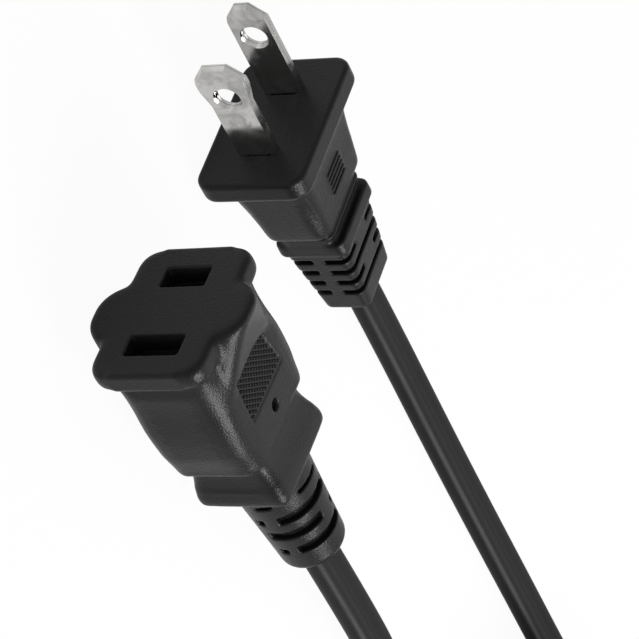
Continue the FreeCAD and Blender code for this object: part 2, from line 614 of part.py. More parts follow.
# The connector's cord climbs to the coil, so its tilted end stops short by what its lower edge reaches ahead.
conn_reach = size["stub_long"] + 0.34
conn_touch = touch(conn_heading, 1, size["climb_end"]) - heading_vector(conn_heading) * conn_reach
plug_route = [along_end(plug_place, size["plug_split"]), along_end(plug_place, size["plug_end"] + 11.6),
              Vector(4.9, 62.2, 1.88), Vector(9.0, 82.0, 1.88), Vector(12.7, 99.2, 2.6),
              plug_touch - heading_vector(plug_heading) * 8, plug_touch]
conn_route = [along_end(conn_place, size["conn_split"]), along_end(conn_place, size["conn_end"] + 18.0),
              Vector(51.4, 66.6, 5.0), Vector(59.7, 78.7, 7.2), conn_touch]


def flat_section(name, route, across):
    """The flat cord's outline at the start of a route: two lobes with a web."""
    along = route[1] - route[0]
    along.normalize()
    side = Vector(across)
    up = side.cross(along)
    up.normalize()
    offset, radius = size["lobe_offset"], size["lobe_radius"]
    meet = math.sqrt(radius ** 2 - offset ** 2)
    top_point, low_point = route[0] + up * meet, route[0] - up * meet
    right = Part.Arc(top_point, route[0] + side * (offset + radius), low_point).toShape()
    left = Part.Arc(low_point, route[0] - side * (offset + radius), top_point).toShape()
    section = doc.addObject("Part::Feature", name)
    section.Shape = Part.Wire([right, left])
    return section


def cord_run(label, route, place):
    path = doc.addObject("Part::Feature", label + "_route")
    path.Shape = route_wire(route)
    section = flat_section(label + "_section", route, place.Rotation.multVec(Vector(1, 0, 0)))
    sweep = doc.addObject("Part::Sweep", label + "_sweep")
    sweep.Sections = [section]
    sweep.Spine = (path, [])
    sweep.Solid = True
    sweep.Frenet = False
    doc.recompute()
    area = Part.Face(section.Shape).Area
    print(label, "volume %.0f against %.0f" % (sweep.Shape.Volume, area * path.Shape.Length))
    return node(sweep, label, None)


cord_run("cord_plug_run", plug_route, plug_place)
cord_run("cord_connector_run", conn_route, conn_place)

# The coil is one ring of the turns' outer shape, with the straight starts of its first and last turn.
coil_ring = cut("coil_ring", rod("coil_rim", "coil_outer", "0", "coil_high"),
                rod("coil_eye", "coil_inner", "-1", "coil_high + 1"))
coil_soft = doc.addObject("Part::Fillet", "coil_soft")
coil_soft.Base = coil_ring
doc.recompute()
coil_soft.Edges = [(index, 1.8, 1.8) for index, edge in enumerate(coil_ring.Shape.Edges, 1)
                   if edge.BoundBox.ZLength < 1e-4 and edge.Length > 20]
stubs = []
for name, heading, side, height in (("coil_stub_plug", "plug_heading", -1, "low_turn"),
                                    ("coil_stub_connector", "conn_heading", 1, "climb_end")):
    out = "( %d * turn_radius - 3.6 )" % side
    corner = ("%s * cos( %s ) - stub_long * sin( %s )" % (out, heading, heading),
              "-1 * %s * sin( %s ) - stub_long * cos( %s )" % (out, heading, heading), height + " - 3.6")
    stubs.append(make("Part::Box", name, corner, Rotation(Vector(0, 0, 1), -size[heading]), Length=7.2,
                      Width="stub_long", Height=7.2))
coil = fuse("coil_fused", coil_soft, *stubs)
node(coil, "cord_coil", Placement(coil_middle, Rotation()))

# Checks and export
doc.recompute()
for thing in doc.Objects:
    if any(word in state for state in thing.State for word in ("Invalid", "Error")):
        raise RuntimeError("%s is %s" % (thing.Name, thing.State))
os.makedirs("parts", exist_ok=True)
for thing in nodes:
    shape = thing.Shape
    if shape.isNull() or not shape.isValid() or len(shape.Solids) != 1:
        raise RuntimeError("%s: %d solids, valid %s" % (thing.Label, len(shape.Solids), shape.isValid()))
    shape.exportStep("parts/%s.step" % thing.Label)
    bounds = shape.BoundBox
    print("%-26s volume %9.1f  x %.2f %.2f  y %.2f %.2f  z %.2f %.2f" % (
        thing.Label, shape.Volume, bounds.XMin, bounds.XMax, bounds.YMin, bounds.YMax, bounds.ZMin, bounds.ZMax))
print("plug tilt %.4f, height %.4f" % (plug_tilt, plug_height))
for name, route in (("plug", plug_route), ("connector", conn_route)):
    print(name, "route", [tuple(round(value, 3) for value in point) for point in route])
print("exits", along_end(plug_place, size["plug_end"]), along_end(conn_place, size["conn_end"]))
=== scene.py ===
import bpy
import bmesh
import math
from mathutils import Euler, Matrix, Vector


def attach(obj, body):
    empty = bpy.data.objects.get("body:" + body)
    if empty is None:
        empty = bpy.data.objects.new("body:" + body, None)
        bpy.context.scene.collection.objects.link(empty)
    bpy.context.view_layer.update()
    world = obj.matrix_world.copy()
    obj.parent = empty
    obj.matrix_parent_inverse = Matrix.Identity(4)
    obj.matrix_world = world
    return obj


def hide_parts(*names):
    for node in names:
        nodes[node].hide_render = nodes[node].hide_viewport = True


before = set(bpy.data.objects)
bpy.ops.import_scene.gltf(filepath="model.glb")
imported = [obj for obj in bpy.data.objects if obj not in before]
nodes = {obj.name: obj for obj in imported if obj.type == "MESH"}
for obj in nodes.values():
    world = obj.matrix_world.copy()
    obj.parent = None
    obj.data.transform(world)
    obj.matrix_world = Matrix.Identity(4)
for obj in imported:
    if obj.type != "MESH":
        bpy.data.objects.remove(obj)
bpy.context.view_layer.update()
mm = 0.001

# Camera, on its side as the photo was taken
camera = {
    "place": (0.24222, -0.22513, 0.23068),
    "turn": (9.7507, -55.5435, 121.1659),    # degrees about X, Y and Z
    "lens": 146.48,
    "sensor": 36.0,
}


def makeCamera():
    data = bpy.data.cameras.new("photoCamera")
    data.lens = camera["lens"]
    data.sensor_width = camera["sensor"]
    data.clip_start = 0.01
    data.clip_end = 10
    item = bpy.data.objects.new("photoCamera", data)
    item.location = camera["place"]
    item.rotation_euler = Euler([math.radians(angle) for angle in camera["turn"]], "XYZ")
    bpy.context.scene.collection.objects.link(item)
    bpy.context.scene.camera = item


makeCamera()
print("camera placed")

# Cord: the CAD source's route in millimetres, with four points moved to cross the picture as in the photo
cord = {
    "plugRoute": [(0, 14.127, 5.943), (0, 38.842, 2.181), (4.9, 62.2, 1.88), (9.0, 82.0, 1.88),
                  (13.3, 99.2, 2.6), (16.6, 108.6, 3.65), (17.4, 116.6, 3.65)],
    "connectorRoute": [(45.399, 18.358, 9.272), (46.835, 52.626, 5.546), (49.9, 66.6, 5.0), (59.7, 78.7, 7.2),
                       (70.003, 87.364, 9.6)],
    "coilMiddle": (60.5, 135.0),
    "outerTurn": 42.6,        # radius of the outermost turn's middle
    "pitch": 3.8,             # from turn to turn
    "fullTurns": 6,
    "low": 3.65,              # height of the lower layer's middle
    "high": 10.95,            # height of the upper layer's middle
    "plugHeading": 6.0,       # degrees from +Y towards +X
    "connectorHeading": 50.0,
    "pointsATurn": 16,
    "exit": (0, 27.374, 3.926),
    "width": 7.2,
    "wire": 1.85,             # radius of each of the two wires
    "apart": 1.75,            # from the web to the middle of each wire
    "web": 1.38,              # half the thickness in the shallow groove between them
    "plugTwist": (92, 142),       # where the plug's end turns from flat to on edge, in mm along the cord
    "connectorTwist": (46, 98),   # the same, from the connector's end
    "step": 1.2,              # between the rings of the mesh
}


def coilLine():
    # From the plug's tangent point clockwise, inwards on the lower layer, then outwards on the upper one.
    startAngle = math.radians(180 - cord["plugHeading"])
    sweep = math.radians(360 * cord["fullTurns"] + 180 - cord["plugHeading"] + cord["connectorHeading"])
    count = round(sweep / math.tau * cord["pointsATurn"])
    step = sweep / count
    middle = Vector((*cord["coilMiddle"], 0))
    points = []
    for index in range(count):
        turned = (index + 0.5) * step
        share = turned / sweep
        inward = min(share, 1 - share) * 2 * (sweep / math.tau / 2)   # turns away from the nearer end
        radius = cord["outerTurn"] - cord["pitch"] * inward
        rise = min(max((share - 0.5) * sweep / math.radians(200) + 0.5, 0), 1)
        rise = rise * rise * (3 - 2 * rise)
        height = cord["low"] + (cord["high"] - cord["low"]) * rise
        angle = startAngle - turned
        outer = radius / math.cos(step / 2)
        points.append(middle + Vector((outer * math.cos(angle), outer * math.sin(angle), height)))
    return points


def headingVector(heading):
    angle = math.radians(heading)
    return Vector((math.sin(angle), math.cos(angle), 0))


def cordPoints():
    turns = coilLine()
    lead = cord["outerTurn"] * math.tan(math.pi / cord["pointsATurn"])
    plugEnd = [Vector(point) for point in cord["plugRoute"]]
    connectorEnd = [Vector(point) for point in cord["connectorRoute"]]
    intoCoil = turns[0] - headingVector(cord["plugHeading"]) * 2 * lead
    outOfCoil = turns[-1] - headingVector(cord["connectorHeading"]) * 2 * lead
    return plugEnd + [intoCoil] + turns + [outOfCoil] + connectorEnd[::-1]


def readLine(points):
    data = bpy.data.curves.new("cordLine", "CURVE")
    data.dimensions = "3D"
    data.resolution_u = 16
    spline = data.splines.new("NURBS")
    spline.points.add(len(points) - 1)
    for item, point in zip(spline.points, points):
        item.co = (*(point * mm), 1)
    spline.order_u = 3
    spline.use_endpoint_u = True
    item = bpy.data.objects.new("cordLine", data)
    mesh = bpy.data.meshes.new_from_object(item)
    line = [vertex.co.copy() for vertex in mesh.vertices]
    bpy.data.meshes.remove(mesh)
    bpy.data.objects.remove(item)
    bpy.data.curves.remove(data)
    return line


def thinLine(line, step):
    kept = [line[0]]
    for point in line[1:-1]:
        if (point - kept[-1]).length >= step:
            kept.append(point)
    kept.append(line[-1])
    return kept


def cordProfile():
    # Two round wires side by side under one jacket, with a shallow groove between them.
    # Each point is (across, up) in metres.
    apart, wire, web = cord["apart"], cord["wire"], cord["web"]
    right = []
    for index in range(13):
        angle = math.radians(-90 + 15 * index)
        right.append((apart + wire * math.cos(angle), wire * math.sin(angle)))
    for across in (1.4, 1.05, 0.7, 0.35, 0, -0.35, -0.7, -1.05, -1.4):
        right.append((across, web + (wire - web) * math.sin(math.pi / 2 * abs(across) / apart) ** 2))
    left = [(-across, -up) for across, up in right]
    return [(across * mm, up * mm) for across, up in right + left]


def smooth(value):
    value = min(max(value, 0), 1)
    return value * value * (3 - 2 * value)


def twistShare(distance, stretch):
    start, end = cord[stretch]
    return smooth((distance / mm - start) / (end - start))


def makeCord():
    line = thinLine(readLine(cordPoints()), cord["step"] * mm)
    along = [0.0]
    for first, second in zip(line, line[1:]):
        along.append(along[-1] + (second - first).length)
    total = along[-1]
    profile = cordProfile()
    mesh = bpy.data.meshes.new("cord")
    form = bmesh.new()
    rings = []
    for index, point in enumerate(line):
        ahead = line[min(index + 1, len(line) - 1)]
        behind = line[max(index - 1, 0)]
        tangent = (ahead - behind).normalized()
        side = tangent.cross(Vector((0, 0, 1))).normalized()
        up = side.cross(tangent)
        share = min(twistShare(along[index], "plugTwist"), twistShare(total - along[index], "connectorTwist"))
        # The twist leans one way at the plug's end and the other way at the connector's
        nearPlug = along[index] < total / 2
        turned = Matrix.Rotation(math.radians(-90 if nearPlug else 90) * share, 3, tangent)
        ring = [form.verts.new(point + turned @ (side * across + up * high)) for across, high in profile]
        if not nearPlug:
            half = len(ring) // 2
            ring = ring[half:] + ring[:half]
        rings.append(ring)
    for first, second in zip(rings, rings[1:]):
        for index in range(len(profile)):
            after = (index + 1) % len(profile)
            form.faces.new((first[index], first[after], second[after], second[index]))
    form.faces.new(rings[0])
    form.faces.new(rings[-1][::-1])
    bmesh.ops.recalc_face_normals(form, faces=form.faces)
    form.to_mesh(mesh)
    form.free()
    for face in mesh.polygons:
        face.use_smooth = len(face.vertices) == 4
    item = bpy.data.objects.new("cord", mesh)
    bpy.context.scene.collection.objects.link(item)
    return item, line, total


cordPiece, cordLine, cordLength = makeCord()
print("cord of %.3f m" % cordLength)

# Mouldings: the CAD solids with the soft edges of moulded plastic
plugMoulding = {
    "name": "plug_moulding",
    "node": "plug_body",
    "place": (0, -9.6, 9.55467),
    "turn": (-8.65543, 0, 0),
    "voxel": 0.2,
    "passes": 3,       # rounds of smoothing all over
    "softPasses": 40,  # and where the shape is softest
    "keep": 0.5,       # share of the faces kept
    "bulge": 0.25,     # swell of the grip's flat sides
    "flat": 6.1,       # half height of the grip's flat sides where they start
    "flatStart": 9.4,
    "slope": 0.0854,   # fall of the flat sides for each millimetre of depth
    "ridgedHalf": 3.2, # half width of the ridged field
    "ridgedFrom": 9.3,
    "ridgedTo": 14.4,
}
connectorMoulding = {
    "name": "connector_moulding",
    "node": "connector_body",
    "place": (43.9, -17.4, 13.16),
    "turn": (-6.2, 0, -2.4),
    "voxel": 0.2,
    "passes": 3,
    "softPasses": 120,
    "keep": 0.45,
    "dimple": 20.3,    # depth of the dimple's middle
    "dimpleDeep": 0.9,
    "blockHalf": 10.5, # half width and half height of the block behind the flange
    "blockHigh": 8.0,
    "corner": 2.6,     # rounding of its long edges in the CAD node
    "cornerMore": 1.1, # and what is added to it
    "swell": 0.4,      # how far its narrow sides are moved out along most of their length
    "swellMore": 0.55, # and further out around the middle
}


def placeMatrix(facts):
    turn = Euler([math.radians(angle) for angle in facts["turn"]], "XYZ")
    return Matrix.Translation(Vector(facts["place"]) * mm) @ turn.to_matrix().to_4x4()


def weldedCopy(nodeName, place):
    # A closed copy of a CAD node's mesh, in its own upright frame
    form = bmesh.new()
    form.from_mesh(nodes[nodeName].data)
    bmesh.ops.remove_doubles(form, verts=form.verts, dist=1e-7)
    bmesh.ops.transform(form, matrix=place.inverted(), verts=form.verts)
    return form


def newItem(name, form):
    mesh = bpy.data.meshes.new(name)
    form.to_mesh(mesh)
    form.free()
    item = bpy.data.objects.new(name, mesh)
    bpy.context.scene.collection.objects.link(item)
    return item


def settle(item):
    # Applies the modifiers
    mesh = bpy.data.meshes.new_from_object(item.evaluated_get(bpy.context.evaluated_depsgraph_get()))
    old = item.data
    item.modifiers.clear()
    item.data = mesh
    bpy.data.meshes.remove(old)


def fade(value, start, end):
    # From nought at start to one at end
    return smooth((value - start) / (end - start))


def gripSurface(depth):
    return plugMoulding["flat"] - plugMoulding["slope"] * (depth - plugMoulding["flatStart"])


def shapePlug(across, depth, up):
    # Where a point of the plug goes, and how much it is softened, in millimetres
    high = abs(up)
    if high > 5 and abs(across) < 11:
        bulge = plugMoulding["bulge"] * fade(high, 5, 5.6) * fade(depth, 4, 10) * (1 - fade(depth, 12, 17.5))
        high += bulge
    alongRidges = plugMoulding["ridgedFrom"] < depth < plugMoulding["ridgedTo"]
    if alongRidges and abs(across) < plugMoulding["ridgedHalf"] and abs(up) > 5.3:
        # The remeshed ridges are levelled here, and addRidges draws them again
        high = gripSurface(depth) + bulge
    rear = fade(depth, 15.4, 16.6) * (1 - fade(depth, 21.4, 22.2))
    front = 0.45 * fade(depth, 2.6, 3.4) * (1 - fade(depth, 5.5, 7.5))
    return across, depth, math.copysign(high, up), max(rear, front)


# Collar: the CAD node's flare, waist and rim, and the cove that they become
collar = {
    "from": 26,
    "to": 32.2,
    "half": 8.2,         # half width where the flare starts
    "flareGrows": 0.8,   # over flareLong
    "flareLong": 3.6,
    "waistFrom": 29.5,
    "waistHalf": 8.72,
    "rimFrom": 30.6,
    "rimHalf": 9.1,
    "coveGrows": 0.9,    # over coveLong
    "coveLong": 5.2,
    "coveBend": 1.6,     # higher bends later
}


def collarScale(depth):
    if not collar["from"] < depth < collar["to"]:
        return 1
    inside = depth - collar["from"]
    now = collar["half"] + collar["flareGrows"] * inside / collar["flareLong"]
    if depth > collar["waistFrom"]:
        now = collar["waistHalf"]
    if depth > collar["rimFrom"]:
        now = collar["rimHalf"]
    cove = collar["half"] + collar["coveGrows"] * min(inside / collar["coveLong"], 1) ** collar["coveBend"]
    return cove / now


def roundEdge(across, high, halfAcross, halfHigh, radius):
    # Brings a point near a long edge in to a larger rounding
    overAcross = abs(across) - (halfAcross - radius)
    overHigh = high - (halfHigh - radius)
    reach = math.hypot(overAcross, overHigh)
    if min(overAcross, overHigh) <= 0 or reach <= radius:
        return across, high
    share = radius / reach
    across = math.copysign(halfAcross - radius + overAcross * share, across)
    return across, halfHigh - radius + overHigh * share


def shapeConnector(across, depth, up):
    # The same for the connector
    high = abs(up)
    if 4.2 < depth < 25 and not (depth < 11.5 and abs(across) < 9.4 and high > 8.05):
        facts = connectorMoulding
        rise = 0.1 * min((depth - 2.6) / 11.4, 1)
        fall = 0.6 * max((depth - 14) / 10.5, 0)
        halfHigh = facts["blockHigh"] + rise - fall
        halfAcross = facts["blockHalf"] - 0.0142 * (depth - 2.6)
        share = fade(depth, 4.2, 7)
        radius = facts["corner"] + facts["cornerMore"] * share
        across, high = roundEdge(across, high, halfAcross, halfHigh, radius)
        swell = facts["swell"] * share * (1 - fade(depth, 23, 25))
        swell += facts["swellMore"] * fade(depth, 8, 17) * (1 - fade(depth, 18.5, 23.5))
        across += math.copysign(swell * fade(abs(across), 6, 9), across)
    if high > 6.2 or abs(across) > 7.6:
        scale = collarScale(depth)
        across *= scale
        high *= scale
    if high > 6.9 and 8 < depth < 19:
        inside = edgeDistance((across, depth), knurl["corners"])
        high -= knurl["sink"] * fade(inside, -0.15, 0.15)
    if high > 5.5 and depth > 18:
        reach = math.hypot(across, depth - connectorMoulding["dimple"])
        high -= connectorMoulding["dimpleDeep"] * (1 - fade(reach, 0.55, 1.05))
    reach = 7.2 + 3.4 * fade(abs(across), 4.6, 6)
    rests = fade(high, 5.2, 6.4) * (1 - fade(depth, reach, reach + 1.4))
    corner = fade(abs(across), 5.5, 7) * fade(high, 3.5, 5)
    rear = 0.2 + 0.3 * fade(depth, 28.4, 29.4) + 0.4 * corner
    rear = rear * fade(depth, 23.6, 25) * (1 - fade(depth, 31.8, 33))
    return across, depth, math.copysign(high, up), max(rests, rear)


def softMoulding(facts, shape):
    item = newItem(facts["name"], weldedCopy(facts["node"], placeMatrix(facts)))
    voxels = item.modifiers.new("voxels", "REMESH")
    voxels.mode = "VOXEL"
    voxels.voxel_size = facts["voxel"] * mm
    voxels.use_smooth_shade = True
    relax = item.modifiers.new("relax", "SMOOTH")
    relax.factor = 0.5
    relax.iterations = facts["passes"]
    settle(item)
    group = item.vertex_groups.new(name="soft")
    for vertex in item.data.vertices:
        *place, share = shape(*(vertex.co / mm))
        vertex.co = Vector(place) * mm
        if share > 0.01:
            group.add([vertex.index], share, "REPLACE")
    soften = item.modifiers.new("soften", "SMOOTH")
    soften.vertex_group = "soft"
    soften.factor = 0.5
    soften.iterations = facts["softPasses"]
    thin = item.modifiers.new("thin", "DECIMATE")
    thin.ratio = facts["keep"]
    settle(item)
    item.vertex_groups.clear()
    return item


# Knurl: rows of small blunt diamonds in the shield-shaped patches on the connector's two flat sides
knurl = {
    "corners": [(-5, 10.6), (-2.6, 9.3), (0, 8.8), (2.8, 8.7), (5.2, 9.2), (6, 17.4), (-6, 17.6)],
    "pitch": 0.74,
    "margin": 0.34,      # from the patch's edge to the middle of the outermost diamonds
    "sink": 0.14,        # how far the patch is sunk below the CAD node's
    "floor": 7.74,
    "sunk": 0.1,
    "rise": 0.24,
    "base": 0.27,        # half widths at the floor and at the top
    "top": 0.13,
}


def edgeDistance(point, corners):
    nearest = math.inf
    for first, second in zip(corners, corners[1:] + corners[:1]):
        start, end = Vector(first), Vector(second)
        inward = Vector((-(end - start).y, (end - start).x)).normalized()
        nearest = min(nearest, (Vector(point) - start).dot(inward))
    return nearest


def addDiamond(form, across, depth, side):
    rings = []
    for half, level in ((knurl["base"], knurl["floor"] - knurl["sunk"]), (knurl["base"], knurl["floor"]),
                        (knurl["top"], knurl["floor"] + knurl["rise"])):
        ring = []
        for x, y in ((1, 0), (0, 1), (-1, 0), (0, -1)):
            place = Vector((across + x * half * 1.414, depth + y * half * 1.414, side * level))
            ring.append(form.verts.new(place * mm))
        rings.append(ring)
    for first, second in zip(rings, rings[1:]):
        for index in range(4):
            after = (index + 1) % 4
            form.faces.new((first[index], first[after], second[after], second[index]))
    form.faces.new(rings[0])
    form.faces.new(rings[-1])


def addKnurl(item):
    form = bmesh.new()
    step = knurl["pitch"] * math.sqrt(0.5)
    for side in (1, -1):
        for row in range(-20, 40):
            for column in range(-20, 21):
                if (row + column) % 2:
                    continue
                across, depth = column * step, row * step
                if edgeDistance((across, depth), knurl["corners"]) > knurl["margin"]:
                    addDiamond(form, across, depth, side)
    bmesh.ops.recalc_face_normals(form, faces=form.faces)
    count = len(form.faces) // 10
    form.from_mesh(item.data)
    form.to_mesh(item.data)
    form.free()
    return count


# Ridges: five rounded bars across each flat side of the plug's grip
ridges = {
    "depths": (9.9, 10.85, 11.8, 12.75, 13.7),
    "half": 2.8,
    "section": [(-0.27, -0.2), (-0.27, 0), (-0.19, 0.17), (0, 0.24), (0.19, 0.17), (0.27, 0), (0.27, -0.2)],
}


def addRidges(item):
    form = bmesh.new()
    for side in (1, -1):
        for depth in ridges["depths"]:
            surface = gripSurface(depth) + plugMoulding["bulge"]
            rings = []
            for across, size in ((-1, 0.3), (-0.95, 0.85), (-0.85, 1), (0.85, 1), (0.95, 0.85), (1, 0.3)):
                ring = []
                for along, rise in ridges["section"]:
                    level = surface + (rise * size if rise > 0 else rise)
                    place = Vector((across * ridges["half"], depth + along * size, side * level))
                    ring.append(form.verts.new(place * mm))
                rings.append(ring)
            for first, second in zip(rings, rings[1:]):
                for index in range(len(first)):
                    after = (index + 1) % len(first)
                    form.faces.new((first[index], first[after], second[after], second[index])).smooth = True
            form.faces.new(rings[0])
            form.faces.new(rings[-1])
    bmesh.ops.recalc_face_normals(form, faces=form.faces)
    form.from_mesh(item.data)
    form.to_mesh(item.data)
    form.free()


plugPiece = softMoulding(plugMoulding, shapePlug)
connectorPiece = softMoulding(connectorMoulding, shapeConnector)
addRidges(plugPiece)
print("mouldings of %d and %d faces" % (len(plugPiece.data.polygons), len(connectorPiece.data.polygons)))
print("%d diamonds in the knurl" % addKnurl(connectorPiece))
for piece, facts in ((plugPiece, plugMoulding), (connectorPiece, connectorMoulding)):
    piece.data.transform(placeMatrix(facts))

# Blades: two layers of folded sheet with a fine seam between them
blade = {
    "wide": 6.35,        # middle of each blade across the plug
    "narrow": -6.35,
    "gap": 0.03,         # half of the seam
    "round": 0.13,
    "angle": 28,         # edges sharper than this are rounded
}


def foldedBlade(name, nodeName, middle):
    place = placeMatrix(plugMoulding)
    whole = weldedCopy(nodeName, place)
    bmesh.ops.dissolve_limit(whole, angle_limit=math.radians(0.5), verts=whole.verts, edges=whole.edges)
    both = bmesh.new()
    for way in (1, -1):
        layer = whole.copy()
        cutAt = Vector((middle + way * blade["gap"], 0, 0)) * mm
        everything = layer.verts[:] + layer.edges[:] + layer.faces[:]
        bmesh.ops.bisect_plane(layer, geom=everything, dist=1e-7, plane_co=cutAt, plane_no=(way, 0, 0),
                               clear_inner=True)
        rim = [edge for edge in layer.edges if len(edge.link_faces) == 1]
        bmesh.ops.triangle_fill(layer, edges=rim, use_beauty=True)
        bmesh.ops.recalc_face_normals(layer, faces=layer.faces)
        bmesh.ops.dissolve_limit(layer, angle_limit=math.radians(0.5), verts=layer.verts, edges=layer.edges)
        part = bpy.data.meshes.new("layer")
        layer.to_mesh(part)
        layer.free()
        both.from_mesh(part)
        bpy.data.meshes.remove(part)
    whole.free()
    item = newItem(name, both)
    bevel = item.modifiers.new("round", "BEVEL")
    bevel.width = blade["round"] * mm
    bevel.segments = 2
    bevel.limit_method = "ANGLE"
    bevel.angle_limit = math.radians(blade["angle"])
    item.modifiers.new("flats", "WEIGHTED_NORMAL")
    for face in item.data.polygons:
        face.use_smooth = True
    settle(item)
    item.data.transform(place)
    return item


widePiece = foldedBlade("wide_folded_blade", "wide_blade", blade["wide"])
narrowPiece = foldedBlade("narrow_folded_blade", "narrow_blade", blade["narrow"])
print("blades of %d and %d faces" % (len(widePiece.data.polygons), len(narrowPiece.data.polygons)))

# Materials
finish = {
    "mouldColor": (0.0085, 0.0085, 0.0087),
    "mouldRough": 0.32,
    "mouldSpecular": 0.18,
    "grain": 0.3,            # size of the moulded grain, in mm
    "cordColor": (0.011, 0.011, 0.0112),
    "cordRough": 0.42,
    "nickelColor": (0.66, 0.65, 0.635),
    "nickelDull": (0.44, 0.435, 0.42),
    "nickelRough": 0.13,
    "brassColor": (0.72, 0.52, 0.24),
    "copperColor": (0.78, 0.38, 0.22),
    "blockColor": (0.02, 0.02, 0.021),
}


def socketsOf(group, sockets):
    for name, way, kind, value in sockets:
        item = group.interface.new_socket(name=name, in_out=way, socket_type=kind)
        if value is not None:
            item.default_value = value


def makeMouldGrain():
    # Pebbled and wrinkled grain of spark-eroded moulds, as a height, and cloudy patches, as a tone
    group = bpy.data.node_groups.new("mouldGrain", "ShaderNodeTree")
    socketsOf(group, (("Size", "INPUT", "NodeSocketFloat", 0.3), ("Wrinkle", "INPUT", "NodeSocketFloat", 1.0),
                      ("Height", "OUTPUT", "NodeSocketFloat", None),
                      ("Cloud", "OUTPUT", "NodeSocketFloat", None)))
    make = group.nodes.new
    link = group.links.new
    given = make("NodeGroupInput")
    result = make("NodeGroupOutput")
    place = make("ShaderNodeTexCoord")
    perMetre = make("ShaderNodeMath")
    perMetre.operation = "DIVIDE"
    perMetre.inputs[0].default_value = 1000
    link(given.outputs["Size"], perMetre.inputs[1])
    pebbles = make("ShaderNodeTexVoronoi")
    pebbles.feature = "SMOOTH_F1"
    pebbles.inputs["Smoothness"].default_value = 0.6
    link(place.outputs["Object"], pebbles.inputs["Vector"])
    link(perMetre.outputs[0], pebbles.inputs["Scale"])
    wrinkles = make("ShaderNodeTexNoise")
    wrinkles.inputs["Detail"].default_value = 2
    link(place.outputs["Object"], wrinkles.inputs["Vector"])
    link(perMetre.outputs[0], wrinkles.inputs["Scale"])
    link(given.outputs["Wrinkle"], wrinkles.inputs["Distortion"])
    height = make("ShaderNodeMath")
    height.operation = "SUBTRACT"
    link(wrinkles.outputs["Fac"], height.inputs[0])
    link(pebbles.outputs["Distance"], height.inputs[1])
    link(height.outputs[0], result.inputs["Height"])
    cloud = make("ShaderNodeTexNoise")
    cloud.inputs["Scale"].default_value = 260
    cloud.inputs["Detail"].default_value = 4
    link(place.outputs["Object"], cloud.inputs["Vector"])
    link(cloud.outputs["Fac"], result.inputs["Cloud"])
    return group


def makeMetalSmear():
    # Fine lengthwise scratches as a height, and smudges of handling as a mask
    group = bpy.data.node_groups.new("metalSmear", "ShaderNodeTree")
    socketsOf(group, (("Size", "INPUT", "NodeSocketFloat", 1.0), ("Height", "OUTPUT", "NodeSocketFloat", None),
                      ("Smudge", "OUTPUT", "NodeSocketFloat", None)))
    make = group.nodes.new
    link = group.links.new
    given = make("NodeGroupInput")
    result = make("NodeGroupOutput")
    place = make("ShaderNodeTexCoord")
    perMetre = make("ShaderNodeMath")
    perMetre.operation = "DIVIDE"
    perMetre.inputs[0].default_value = 1000
    link(given.outputs["Size"], perMetre.inputs[1])
    stretch = make("ShaderNodeMapping")
    stretch.inputs["Scale"].default_value = (6, 0.6, 6)
    link(place.outputs["Object"], stretch.inputs["Vector"])
    scratches = make("ShaderNodeTexNoise")
    scratches.inputs["Detail"].default_value = 3
    link(stretch.outputs["Vector"], scratches.inputs["Vector"])
    link(perMetre.outputs[0], scratches.inputs["Scale"])
    link(scratches.outputs["Fac"], result.inputs["Height"])
    smudges = make("ShaderNodeTexNoise")
    smudges.inputs["Scale"].default_value = 320
    smudges.inputs["Detail"].default_value = 5
    smudges.inputs["Distortion"].default_value = 1.2
    link(place.outputs["Object"], smudges.inputs["Vector"])
    ramp = make("ShaderNodeMapRange")
    ramp.inputs["From Min"].default_value = 0.42
    ramp.inputs["From Max"].default_value = 0.68
    link(smudges.outputs["Fac"], ramp.inputs["Value"])
    link(ramp.outputs["Result"], result.inputs["Smudge"])
    return group


mouldGrain = makeMouldGrain()
metalSmear = makeMetalSmear()


def startMaterial(name, group, values):
    material = bpy.data.materials.new(name)
    material.use_nodes = True
    tree = material.node_tree
    effect = tree.nodes.new("ShaderNodeGroup")
    effect.node_tree = group
    for key, value in values.items():
        effect.inputs[key].default_value = value
    return material, tree, tree.nodes["Principled BSDF"], effect


def addBump(tree, shader, height, strength, distance):
    bump = tree.nodes.new("ShaderNodeBump")
    bump.inputs["Strength"].default_value = strength
    bump.inputs["Distance"].default_value = distance * mm
    tree.links.new(height, bump.inputs["Height"])
    tree.links.new(bump.outputs["Normal"], shader.inputs["Normal"])


def varyColor(tree, shader, factor, dark, light):
    mix = tree.nodes.new("ShaderNodeMix")
    mix.data_type = "RGBA"
    mix.inputs["A"].default_value = (*dark, 1)
    mix.inputs["B"].default_value = (*light, 1)
    tree.links.new(factor, mix.inputs["Factor"])
    tree.links.new(mix.outputs["Result"], shader.inputs["Base Color"])


def varyRough(tree, shader, factor, low, high):
    spread = tree.nodes.new("ShaderNodeMapRange")
    spread.inputs["To Min"].default_value = low
    spread.inputs["To Max"].default_value = high
    tree.links.new(factor, spread.inputs["Value"])
    tree.links.new(spread.outputs["Result"], shader.inputs["Roughness"])


def plastic(name, color, rough, specular, size, wrinkle, strength, distance):
    material, tree, shader, grain = startMaterial(name, mouldGrain, {"Size": size, "Wrinkle": wrinkle})
    shader.inputs["Specular IOR Level"].default_value = specular
    dark = [part * 0.82 for part in color]
    light = [part * 1.18 for part in color]
    varyColor(tree, shader, grain.outputs["Cloud"], dark, light)
    varyRough(tree, shader, grain.outputs["Cloud"], rough - 0.06, rough + 0.06)
    addBump(tree, shader, grain.outputs["Height"], strength, distance)
    return material


